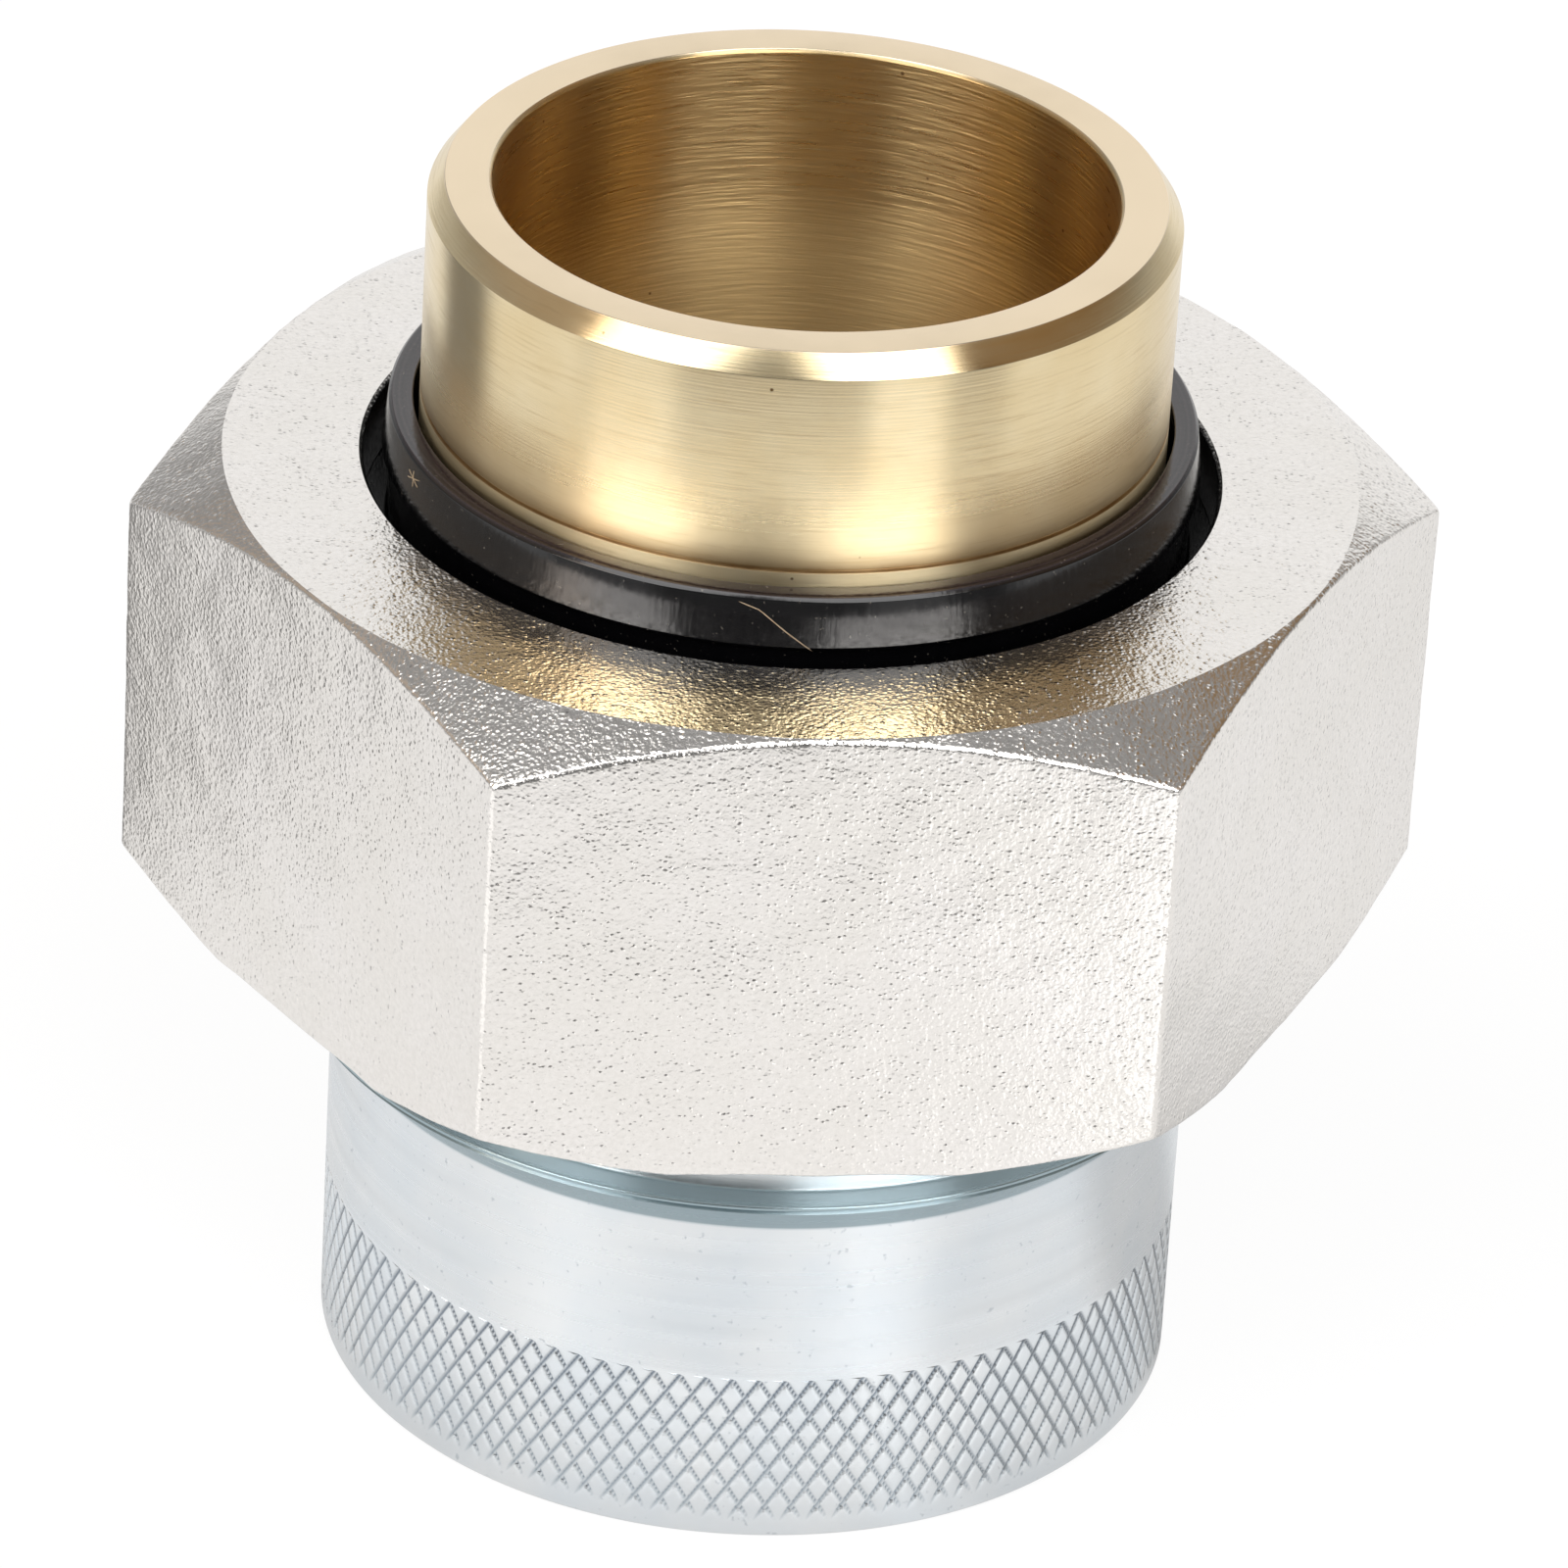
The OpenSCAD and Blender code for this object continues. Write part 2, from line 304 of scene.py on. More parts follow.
def body_shell():
    """The body's surface as radius and height over the angle: a profile that goes up the outside, in over
    the seat, down the waterway and out under the foot, with a knurl and two threads on its way."""
    angle = np.linspace(0, TURN, DIAMOND_STEPS * KNURL_COUNT + 1)
    plain = coarse(angle, 5)
    foot_r, foot_z = profile(
        (PIPE_THREAD_R + PIPE_MOUTH_BEVEL, 0),
        (BARREL_R - FOOT_BEVEL, 0, 0.1),
        (BARREL_R, FOOT_BEVEL, 0.1),
        (BARREL_R, KNURL_Z - KNURL_END),
    )
    knurl_r, knurl_z = knurl(angle)
    root_r = UNION_THREAD_R - THREAD_DEPTH
    band_r, band_z = profile(
        (BARREL_R, KNURL_TOP + KNURL_END),
        (BARREL_R, BARREL_H, 0.12),
        (UNION_THREAD_R - CONE_END_IN, SHOULDER_Z - CONE_END_DOWN, 0.02),
        (UNION_THREAD_R - NOTCH_IN, SHOULDER_Z - NOTCH_DOWN, 0.02),
        (UNION_THREAD_R, SHOULDER_Z - SHOULDER_EDGE, 0.04),
        (UNION_THREAD_R, SHOULDER_Z, 0.08),
        (root_r, SHOULDER_Z, 0.12),
        (root_r, UNION_THREAD_Z),
    )
    thread_r, thread_z = helix(UNION_THREAD_Z, SEAT_Z, plain, root_r, UNION_THREAD_R, UNION_THREAD_Z)
    bevel_r = UNION_THREAD_R - np.clip(thread_z - (SEAT_Z - UNION_THREAD_BEVEL), 0, None)
    seat_r, seat_z = profile(
        (root_r, SEAT_Z),
        (PASSAGE_R, SEAT_Z, 0.3),
        (PASSAGE_R, PIPE_THREAD_Z),
        (PIPE_THREAD_R - PIPE_THREAD_DEPTH / 2 - PIPE_THREAD_END, PIPE_THREAD_Z),
    )
    pipe_r, pipe_z = pipe_thread(plain)
    grids = [
        on_circles(foot_r, foot_z, plain),
        on_circles(BARREL_R, np.array([[KNURL_Z - KNURL_END]]), plain),
        on_circles(knurl_r, knurl_z, angle),
        on_circles(band_r, band_z, plain),
        on_circles(np.minimum(thread_r, bevel_r), thread_z, plain),
        on_circles(seat_r, seat_z, plain),
        on_circles(pipe_r, pipe_z, plain),
        on_circles(foot_r[:1], foot_z[:1], plain),
    ]
    return shell("body_shell", np.concatenate(grids))


def turned_zinc():
    """Bright zinc over turned steel: bluish white, with fine lines round the axis from the tool and small
    specks where the plating is dull. The cone is darker with painted shade, standing in for its reflection
    of the shade under the nut. The notch above it is paler with painted light, and the knurl's grooves carry
    painted shade that deepens from the foot up."""
    material, tree, shader, place = new_material("turned_zinc")
    lathe, radius, height = turned(tree, place)
    lines = noise(tree, lathe, 9000, 4)
    bands = noise(tree, lathe, 1400, 2)
    clouds = noise(tree, place, 260, 3)
    specks = noise(tree, place, 3200, 3)
    tint = blend(tree, spread(tree, clouds, 0.35, 0.65), ZINC_DIM, ZINC_BRIGHT)
    tint = blend(tree, spread(tree, specks, 0.66, 0.74, 0.0, 0.5), tint, ZINC_SPECK)
    # Painted shade on the cone
    tint = blend(tree, ramp(tree, height, BARREL_H - 0.1, BARREL_H + 0.1), tint, CONE_SHADE_TINT)
    # Painted light above the shoulder
    tint = blend(tree, ramp(tree, height, SHOULDER_Z + 0.05, SHOULDER_Z + 0.1), tint, NOTCH_LIGHT_TINT)
    # Painted shade in the knurl's grooves, deepening from the foot up
    floor_r = BARREL_R - KNURL_DEPTH
    groove_shade_mask = ramp(tree, radius, floor_r, BARREL_R - 0.02, 1.0, 0.0)
    outer = ramp(tree, radius, floor_r - 0.04, floor_r - 0.02)
    above = ramp(tree, height, KNURL_Z - 0.02, KNURL_Z)
    below = ramp(tree, height, BARREL_H - 0.2, BARREL_H - 0.1, 1.0, 0.0)
    for mask in (outer, above, below):
        groove_shade_mask = compute(tree, "MULTIPLY", groove_shade_mask, mask)
    grooves = blend(tree, ramp(tree, height, KNURL_Z, KNURL_TOP), LOW_GROOVE_SHADE, HIGH_GROOVE_SHADE)
    tint = blend(tree, groove_shade_mask, tint, grooves)
    knurled = ramp(tree, height, KNURL_TOP + 0.1, KNURL_TOP + 0.3, 1.0, 0.0)
    dull = spread(tree, bands, 0.3, 0.7, 0.25, 0.32)
    dull = compute(tree, "SUBTRACT", dull, compute(tree, "MULTIPLY", knurled, 0.12))
    wire(tree, shader, Base_Color=tint, Roughness=dull)
    relief = bump(tree, lines, 0.000006)
    wire(tree, shader, Normal=bump(tree, specks, 0.000004, under=relief))
    brush_round(tree, shader)
    return material


body = body_shell()
body.data.materials.append(turned_zinc())
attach(body, "base")
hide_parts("body")

# Gasket. A flat rubber ring punched from sheet, which lies on the body's seat and is pressed by the
# flange of the brass end. Only its edge could be seen, with the union opened.
GASKET_LOW, GASKET_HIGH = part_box("gasket")
GASKET_BORE_R = PASSAGE_R + 0.3
RUBBER_TINT = (0.014, 0.014, 0.015)
RUBBER_BLOOM = (0.03, 0.03, 0.031)


def ring_profile(inner, outer, low, high, rounding):
    """Closed profile of a plain ring with rounded edges, up its outside and down its inside."""
    middle = (low + high) / 2
    return profile(
        (outer, middle),
        (outer, high, rounding),
        (inner, high, rounding),
        (inner, low, rounding),
        (outer, low, rounding),
        (outer, middle),
    )


def sheet_rubber():
    """Black sheet rubber: dull, with a faint grey bloom and a slightly rough punched edge."""
    material, tree, shader, place = new_material("sheet_rubber")
    bloom = noise(tree, place, 500, 4)
    grain = noise(tree, place, 6000, 2)
    wire(tree, shader, Base_Color=blend(tree, bloom, RUBBER_TINT, RUBBER_BLOOM))
    wire(tree, shader, Normal=bump(tree, grain, 0.00001))
    shader.inputs["Roughness"].default_value = 0.75
    return material


gasket_foot_z, gasket_top_z = GASKET_LOW.z / MM, GASKET_HIGH.z / MM
ring_r, ring_z = ring_profile(GASKET_BORE_R, GASKET_HIGH.x / MM, gasket_foot_z, gasket_top_z, 0.1)
gasket = shell("gasket_ring", on_circles(ring_r, ring_z, np.linspace(0, TURN, 181)))
gasket.data.materials.append(sheet_rubber())
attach(gasket, "base")
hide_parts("gasket")

# Tailpiece. The brass end, turned from one bar: a flange that presses on the gasket, a tube, and a
# socket for the copper tube with a ledge at its bottom. Its rim is bevelled, and the tool left fine
# lines round it inside and out.
TAIL_LOW, TAIL_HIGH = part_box("tailpiece")
FLANGE_R = TAIL_HIGH.x / MM
FLANGE_Z = TAIL_LOW.z / MM
RIM_Z = TAIL_HIGH.z / MM
FLANGE_T = 4
TUBE_R = 13.445
SOCKET_R = 11.165
STOP_R = 9.8
STOP_T = 1.9
RIM_BEVEL_W = 0.6
RIM_BEVEL_H = 0.8
MOUTH_BEVEL_W = 0.12
MOUTH_BEVEL_H = 0.14
# The fine groove turned round the tube above the collar: half its width at its mouth and at its floor
LINE_Z = 38.7
LINE_HALF = 0.09
LINE_FLOOR_HALF = 0.05
LINE_DEPTH = 0.14
# Height over which the painted reflection of the black collar fades up the tube
LINE_SHADE_H = 1.1
DULL_H = 3
BRASS_DIM = (0.83, 0.67, 0.40)
BRASS_BRIGHT = (0.87, 0.73, 0.47)
BRASS_MARK = (0.62, 0.45, 0.22)
# Painted shade in the fine groove and painted reflection of the black collar above it
LINE_SHADE_TINT = (0.36, 0.22, 0.09)
SOCKET_TINT = (0.61, 0.43, 0.20)
# Painted sheen on the rim's top
RIM_SHEEN_TINT = (0.90, 0.745, 0.53)
SPOT_TINT = (0.22, 0.13, 0.06)


def tail_shell():
    """The tailpiece as a profile turned round the axis: up the outside, over the rim, down the socket
    and the ledge, and out under the flange. It starts and ends on the flange's edge."""
    radius, height = profile(
        (FLANGE_R, FLANGE_Z + FLANGE_T / 4),
        (FLANGE_R, FLANGE_Z + FLANGE_T, 0.15),
        (TUBE_R, FLANGE_Z + FLANGE_T, 0.2),
        (TUBE_R, LINE_Z - LINE_HALF, 0.02),
        (TUBE_R - LINE_DEPTH, LINE_Z - LINE_FLOOR_HALF, 0.02),
        (TUBE_R - LINE_DEPTH, LINE_Z + LINE_FLOOR_HALF, 0.02),
        (TUBE_R, LINE_Z + LINE_HALF, 0.02),
        (TUBE_R, RIM_Z - RIM_BEVEL_H, 0.06),
        (TUBE_R - RIM_BEVEL_W, RIM_Z, 0.05),
        (SOCKET_R + MOUTH_BEVEL_W, RIM_Z, 0.04),
        (SOCKET_R, RIM_Z - MOUTH_BEVEL_H, 0.05),
        (SOCKET_R, FLANGE_Z + STOP_T, 0.2),
        (STOP_R, FLANGE_Z + STOP_T, 0.1),
        (STOP_R, FLANGE_Z, 0.1),
        (FLANGE_R, FLANGE_Z, 0.15),
        (FLANGE_R, FLANGE_Z + FLANGE_T / 4),
    )
    return shell("tailpiece_shell", on_circles(radius, height, np.linspace(0, TURN, 361)))


def cells(tree, place, scale):
    """Voronoi cells of the given scale per metre: the distance to the cell's middle, in cells, and a random
    number for each cell."""
    node = add(tree, "TexVoronoi", {"Vector": place, "Scale": scale})
    return node.outputs["Distance"], add(tree, "SeparateColor", {0: node.outputs["Color"]}).outputs[0]


def turned_brass():
    """Dull turned brass: pale gold, with brown marks and spots. The socket is browner and scratched, the
    rim's top is paler with a painted sheen, and the tube is dull above the collar. At the tube's foot,
    painted shade fills the fine groove and a painted reflection of the black collar fades up from it in
    brown."""
    material, tree, shader, place = new_material("turned_brass")
    lathe, radius, height = turned(tree, place)
    lines = noise(tree, lathe, 11000, 4)
    marks = noise(tree, place, 9000, 3, (24, 24, 1))
    clouds = noise(tree, place, 420, 4)
    tint = blend(tree, spread(tree, clouds, 0.3, 0.7), BRASS_DIM, BRASS_BRIGHT)
    tint = blend(tree, spread(tree, marks, 0.55, 0.75, 0.0, 0.3), tint, BRASS_MARK)
    # Painted shade in the fine groove and a painted reflection of the black collar, fading up the tube from
    # it
    line_shade = compute(tree, "POWER", ramp(tree, height, LINE_Z, LINE_Z + LINE_SHADE_H, 1.0, 0.0), 2.0)
    line_shade = compute(tree, "MULTIPLY", line_shade, spread(tree, clouds, 0.2, 0.7, 0.5, 1.0))
    line_shade = compute(tree, "MULTIPLY", line_shade, ramp(tree, height, LINE_Z - 0.12, LINE_Z - 0.08))
    tint = blend(tree, line_shade, tint, LINE_SHADE_TINT)
    inside = ramp(tree, radius, SOCKET_R + 0.02, SOCKET_R + 0.1, 1.0, 0.0)
    tint = blend(tree, inside, tint, SOCKET_TINT)
    # Painted sheen: the rim's top made paler
    tint = blend(tree, ramp(tree, height, RIM_Z - 0.05, RIM_Z - 0.02), tint, RIM_SHEEN_TINT)
    spot, chance = cells(tree, place, 900)
    spot = spread(tree, spot, 0.05, 0.08, 1.0, 0.0)
    spot = compute(tree, "MULTIPLY", spot, spread(tree, chance, 0.84, 0.9))
    tint = blend(tree, spot, tint, SPOT_TINT)
    dull = spread(tree, marks, 0.3, 0.7, 0.18, 0.26)
    dull = compute(tree, "MULTIPLY_ADD", inside, 0.08, dull)
    dull = compute(tree, "ADD", ramp(tree, height, LINE_Z, LINE_Z + DULL_H, 0.16, 0.0), dull)
    wire(tree, shader, Base_Color=tint, Roughness=dull)
    relief = bump(tree, lines, 0.000006)
    scratches = compute(tree, "MULTIPLY", noise(tree, place, 7000, 3, (16, 16, 1)), inside)
    wire(tree, shader, Normal=bump(tree, scratches, 0.000034, under=relief))
    brush_round(tree, shader)
    return material


tail = tail_shell()
tail.data.materials.append(turned_brass())
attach(tail, "tail")
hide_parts("tailpiece")

# Insulator. A black plastic sleeve, moulded, slipped over the tube: its flange lies on the brass
# flange under the nut's lip, and its collar stands out of the hole in the nut.
SLEEVE_LOW, SLEEVE_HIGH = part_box("insulator")
SLEEVE_FLANGE_R = SLEEVE_HIGH.x / MM
SLEEVE_Z = SLEEVE_LOW.z / MM
COLLAR_TOP_Z = SLEEVE_HIGH.z / MM
SLEEVE_FLANGE_T = 1.5
LIP_Z = SLEEVE_Z + SLEEVE_FLANGE_T
SLEEVE_BORE_R = 13.665
SLEEVE_R = 14.445
COLLAR_R = 14.745
COLLAR_EDGE_Z = 36.35
COLLAR_STEP_H = 0.3
# How far the collar's cone and its bevelled top end are in from its edge, and the bevel's height
COLLAR_CONE_IN = 0.2
COLLAR_TOP_IN = 0.32
COLLAR_BEVEL_H = 0.12
PLASTIC_DARK = (0.001, 0.001, 0.0015)
PLASTIC_PALE = (0.003, 0.003, 0.0035)
# The top's paler black: a painted reflection of the brass, mixed with dust
TOP_DARK_SHEEN_AND_DUST = (0.006, 0.005, 0.006)
TOP_PALE_SHEEN_AND_DUST = (0.035, 0.027, 0.031)
DUST_TINT = (0.20, 0.18, 0.15)


def sleeve_shell():
    """The sleeve as a profile turned round the axis: up the outside of its flange, neck and collar, and
    down its bore. It starts and ends on the flange's edge."""
    seam_z = SLEEVE_Z + 0.7
    radius, height = profile(
        (SLEEVE_FLANGE_R, seam_z),
        (SLEEVE_FLANGE_R, LIP_Z, 0.1),
        (SLEEVE_R, LIP_Z, 0.15),
        (SLEEVE_R, COLLAR_EDGE_Z - COLLAR_STEP_H, 0.05),
        (COLLAR_R, COLLAR_EDGE_Z, 0.08),
        (COLLAR_R - COLLAR_CONE_IN, COLLAR_TOP_Z - COLLAR_BEVEL_H, 0.06),
        (COLLAR_R - COLLAR_TOP_IN, COLLAR_TOP_Z, 0.05),
        (SLEEVE_BORE_R, COLLAR_TOP_Z, 0.06),
        (SLEEVE_BORE_R, SLEEVE_Z, 0.06),
        (SLEEVE_FLANGE_R, SLEEVE_Z, 0.1),
        (SLEEVE_FLANGE_R, seam_z),
    )
    return shell("insulator_shell", on_circles(radius, height, np.linspace(0, TURN, 361)))


def moulded_black():
    """Black moulded plastic: smooth, with fine upright streaks from the mould and a little pale dust. Its
    top is a paler black, with rings round the axis: a painted reflection of the brass, mixed with dust."""
    material, tree, shader, place = new_material("moulded_black")
    streaks = noise(tree, place, 5200, 3, (1, 1, 14))
    clouds = noise(tree, place, 700, 3)
    dust = noise(tree, place, 7000, 2)
    lathe, _, height = turned(tree, place)
    rings = noise(tree, lathe, 9000, 3)
    # Painted reflection of the brass and dust on the collar's top
    top_sheen_and_dust = blend(tree, spread(tree, rings, 0.35, 0.6), TOP_DARK_SHEEN_AND_DUST, TOP_PALE_SHEEN_AND_DUST)
    tint = blend(tree, clouds, PLASTIC_DARK, PLASTIC_PALE)
    tint = blend(tree, ramp(tree, height, COLLAR_TOP_Z - 0.10, COLLAR_TOP_Z - 0.02), tint, top_sheen_and_dust)
    tint = blend(tree, spread(tree, dust, 0.70, 0.76, 0.0, 0.6), tint, DUST_TINT)
    wire(tree, shader, Base_Color=tint, Roughness=spread(tree, streaks, 0.3, 0.7, 0.09, 0.17))
    wire(tree, shader, Normal=bump(tree, streaks, 0.000006))
    shader.inputs["IOR"].default_value = 1.6
    return material


sleeve = sleeve_shell()
sleeve.data.materials.append(moulded_black())
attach(sleeve, "tail")
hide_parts("insulator")

# Lint. A hair-thin brown fibre hangs over the front of the black collar and a tiny star of pale dust
# sits on its left side. Both only cling to the plastic, and ride with it.
LINT_R = 0.02
STRANDS = [
    # bearings in degrees from +X, and heights
    ([-102.4, -99.4, -95.9, -91.9], [37.95, 37.70, 36.99, 36.25]),
    ([-164.0, -159.8], [37.36, 37.68]),
    ([-163.8, -160.0], [37.66, 37.38]),
    ([-161.7, -162.1], [37.22, 37.82]),
]
FIBRE_DARK = (0.22, 0.15, 0.08)
FIBRE_PALE = (0.50, 0.40, 0.28)


def strand(bearings, heights):
    """Thin tube along a line on the collar's cone. Round each point of the line it goes by the cosine of
    the angle outwards and by its sine sideways, and it tapers to a point at both ends."""
    share = np.linspace(0, 1, 17)
    knots = np.linspace(0, 1, len(bearings))
    angle = np.radians(np.interp(share, knots, bearings))
    height = np.interp(share, knots, heights)
    cone_z = [COLLAR_EDGE_Z, COLLAR_TOP_Z - COLLAR_BEVEL_H]
    radius = np.interp(height, cone_z, [COLLAR_R, COLLAR_R - COLLAR_CONE_IN]) + LINT_R / 2
    path = on_circles(radius, height, angle)
    outward = on_circles(1.0, 0.0, angle)
    aside = unit(np.cross(np.gradient(path, axis=0), outward))
    turn = np.linspace(0, TURN, 7)[:, None]
    thick = LINT_R * np.sqrt(1 - (2 * share - 1) ** 8)
    ring = np.cos(turn) * outward[:, None] + np.sin(turn) * aside[:, None]
    return path[:, None] + thick[:, None, None] * ring


def pale_fibre():
    """Dull cotton fibre: pale brown, a little uneven along its length."""
    material, tree, shader, place = new_material("pale_fibre")
    uneven = noise(tree, place, 5000, 2)
    wire(tree, shader, Base_Color=blend(tree, uneven, FIBRE_DARK, FIBRE_PALE))
    shader.inputs["Roughness"].default_value = 0.8
    return material


lint = shell("collar_lint", *[strand(*line) for line in STRANDS])
lint.data.materials.append(pale_fibre())
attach(lint, "tail")

# Nut. A hexagon forged roughly to shape, bevelled on its corners at both ends, bored, and cut with
# the union thread. Its outside keeps the grit of the blank under the bright zinc.
NUT_LOW, NUT_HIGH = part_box("nut")
NUT_FOOT_Z = NUT_LOW.z / MM
NUT_TOP_Z = NUT_HIGH.z / MM
FLAT_R = NUT_HIGH.y / MM
HOLE_R = 15.395
NUT_ROOT_R = 17.688
TOP_CIRCLE_R = FLAT_R - 0.15
FOOT_CIRCLE_R = FLAT_R + 0.4
CORNER_SLOPE = np.tan(np.radians(30))
CORNER_ROUND = 0.4
EDGE_ROUND = 0.25
NUT_GROOVE = 1.6
HOLE_BEVEL = 0.15
NUT_MOUTH_BEVEL = 0.8
SIDE_ANGLE = TURN / 6
# A rounded corner's circle: its centre's distance from the axis, and half the angle it takes there
CORNER_R = (FLAT_R - CORNER_ROUND) / np.cos(TURN / 12)
CORNER_ANGLE = np.arctan2(CORNER_ROUND * np.sin(TURN / 12), CORNER_R + CORNER_ROUND * np.cos(TURN / 12))
# Columns over a rounded corner and a flat, and rows over each part of the outside's profile
CORNER_COLUMNS = 8
FLAT_COLUMNS = 90
FOOT_ROWS = 4
CONE_ROWS = 10
EDGE_ROWS = 5
FLAT_ROWS = 70
TOP_ROWS = 20
LUMP_VALUES = 65536
LUMPS = [
    # height and size in millimetres, and seed
    (0.030, 2.6, 1),
    (0.014, 0.9, 2),
    (0.008, 0.55, 3),
]
NUT_DIM = (0.90, 0.87, 0.83)
NUT_BRIGHT = (0.94, 0.91, 0.88)
NUT_GRAIN = (0.78, 0.75, 0.71)
NUT_PIT = (0.30, 0.28, 0.29)
# Painted shade on the wall of the nut's hole
NUT_HOLE_SHADE = (0.15, 0.15, 0.15)


def lumps(points, size, seed):
    """Smooth noise from -1 to 1. Each point of a cubic lattice of the given size holds a random value, and
    the eight round a point are mixed with the S curve three t squared minus two t cubed."""
    values = np.random.default_rng(seed).uniform(-1, 1, LUMP_VALUES)
    cell = np.floor(points / size).astype(np.int64)
    share = points / size - cell
    share = share * share * (3 - 2 * share)
    total = np.zeros(points.shape[:-1])
    # Three large primes scatter the lattice's columns, rows and layers over the table
    primes = np.array([73856093, 19349663, 83492791])
    for corner in np.ndindex(2, 2, 2):
        weight = np.prod(np.where(corner, share, 1 - share), axis=-1)
        total += weight * values[((cell + corner) * primes).sum(axis=-1) % values.size]
    return total


def hexagon(angle):
    """Distance from the axis to the hexagon's outline: the flat's distance over the cosine of the angle
    from the flat's middle, and near a corner the far side of a circle that touches both flats."""
    from_corner = np.abs((angle + SIDE_ANGLE / 2) % SIDE_ANGLE - SIDE_ANGLE / 2)
    straight = FLAT_R / np.cos(SIDE_ANGLE / 2 - from_corner)
    half_chord = np.clip(CORNER_ROUND**2 - (CORNER_R * np.sin(from_corner)) ** 2, 0, None)
    curved = CORNER_R * np.cos(from_corner) + np.sqrt(half_chord)
    return np.where(from_corner < CORNER_ANGLE, curved, straight)


def nut_angles():
    """Columns of the nut, evenly over each rounded corner and more finely over each flat."""
    corner = np.linspace(-CORNER_ANGLE, CORNER_ANGLE, CORNER_COLUMNS, endpoint=False)
    flat = np.linspace(CORNER_ANGLE, SIDE_ANGLE - CORNER_ANGLE, FLAT_COLUMNS, endpoint=False)
    side = np.concatenate([corner, flat])
    angles = (side + SIDE_ANGLE * np.arange(6)[:, None]).ravel()
    return np.append(angles, angles[0] + TURN)


def nut_outside(angle):
    """Points of the nut's outside. For each angle the profile goes out under the foot, up the foot's bevel
    cone, round a small edge, up the flat, round the top's edge, in over its bevel cone and the top."""
    side_r = hexagon(angle)
    arc = np.linspace(0, SIDE_ANGLE, EDGE_ROWS)[:, None]
    edge_r = side_r - EDGE_ROUND + EDGE_ROUND * np.cos(arc)
    edge_up = EDGE_ROUND * (np.sin(arc) - CORNER_SLOPE)
    cone = np.linspace(0, 1, CONE_ROWS + 1)[1:, None]
    foot_circle = np.minimum(FOOT_CIRCLE_R, side_r - EDGE_ROUND)
    foot_rise = (side_r - foot_circle) * CORNER_SLOPE
    foot_cone_r = edge_r[-1] + cone * (foot_circle - edge_r[-1])
    top_rise = (side_r - TOP_CIRCLE_R) * CORNER_SLOPE
    top_cone_r = edge_r[-1] + cone * (TOP_CIRCLE_R - edge_r[-1])
    low = NUT_FOOT_Z + foot_rise + EDGE_ROUND * CORNER_SLOPE
    high = NUT_TOP_Z - top_rise - EDGE_ROUND * CORNER_SLOPE
    share = np.linspace(0, 1, FLAT_ROWS + 2)[1:-1, None]
    inward = np.linspace(0, 1, TOP_ROWS + 1)[1:, None]
    top_r = TOP_CIRCLE_R + inward * (HOLE_R + HOLE_BEVEL - TOP_CIRCLE_R) + 0 * angle
    outward = np.linspace(0, 1, FOOT_ROWS + 1)[:-1, None]
    foot_r = NUT_ROOT_R + NUT_MOUTH_BEVEL + outward * (foot_circle - NUT_ROOT_R - NUT_MOUTH_BEVEL)
    rows = [
        (foot_r, np.full(foot_r.shape, NUT_FOOT_Z)),
        (foot_cone_r[::-1], (NUT_FOOT_Z + (foot_cone_r - foot_circle) * CORNER_SLOPE)[::-1]),
        (edge_r[::-1], (NUT_FOOT_Z + foot_rise - edge_up)[::-1]),
        (side_r + 0 * share, low + share * (high - low)),
        (edge_r, NUT_TOP_Z - top_rise + edge_up),
        (top_cone_r, NUT_TOP_Z - (top_cone_r - TOP_CIRCLE_R) * CORNER_SLOPE),
        (top_r, np.full(top_r.shape, NUT_TOP_Z)),
    ]
    radius, height = (np.concatenate(parts) for parts in zip(*rows))
    return on_circles(radius, height, angle)


def roughened(grid):
    """A grid round the axis, pushed in and out along its own normals by lumps of three sizes. Its first and
    last rows stay, and its first and last columns stay together."""
    normal = unit(np.cross(np.gradient(grid, axis=1), np.gradient(grid, axis=0)))
    normal[:, [0, -1]] = unit(normal[:, 0] + normal[:, -1])[:, None]
    push = sum(height * lumps(grid, size, seed) for height, size, seed in LUMPS)
    push[[0, -1]] = 0
    push[:, -1] = push[:, 0]
    return grid + normal * push[..., None]


def nut_shell():
    """The nut's surface: its rough outside, and the profile that goes down the hole, the lip, the thread and
    the mouth. The thread's roots lie where the body's crests do, half a pitch from the body's roots."""
    angle = nut_angles()
    outside = roughened(nut_outside(angle))
    inner = coarse(angle, 3)
    hole_r, hole_z = profile(
        (HOLE_R + HOLE_BEVEL, NUT_TOP_Z),
        (HOLE_R, NUT_TOP_Z - HOLE_BEVEL, 0.1),
        (HOLE_R, LIP_Z, 0.05),
        (NUT_ROOT_R, LIP_Z, 0.1),
        (NUT_ROOT_R, LIP_Z - NUT_GROOVE),
    )
    crest_r = NUT_ROOT_R - THREAD_DEPTH
    root_z = UNION_THREAD_Z + THREAD_PITCH / 2
    thread_r, thread_z = helix(LIP_Z - NUT_GROOVE, NUT_FOOT_Z, inner, NUT_ROOT_R, crest_r, root_z)
    thread_r = np.maximum(thread_r, NUT_ROOT_R + NUT_MOUTH_BEVEL - (thread_z - NUT_FOOT_Z))
    inside = [
        outside[-1:],
        on_circles(hole_r, hole_z, inner),
        on_circles(thread_r, thread_z, inner),
        on_circles(NUT_ROOT_R + NUT_MOUTH_BEVEL, np.array([[NUT_FOOT_Z]]), inner),
        outside[:1],
    ]
    return shell("nut_shell", outside, np.concatenate(inside))


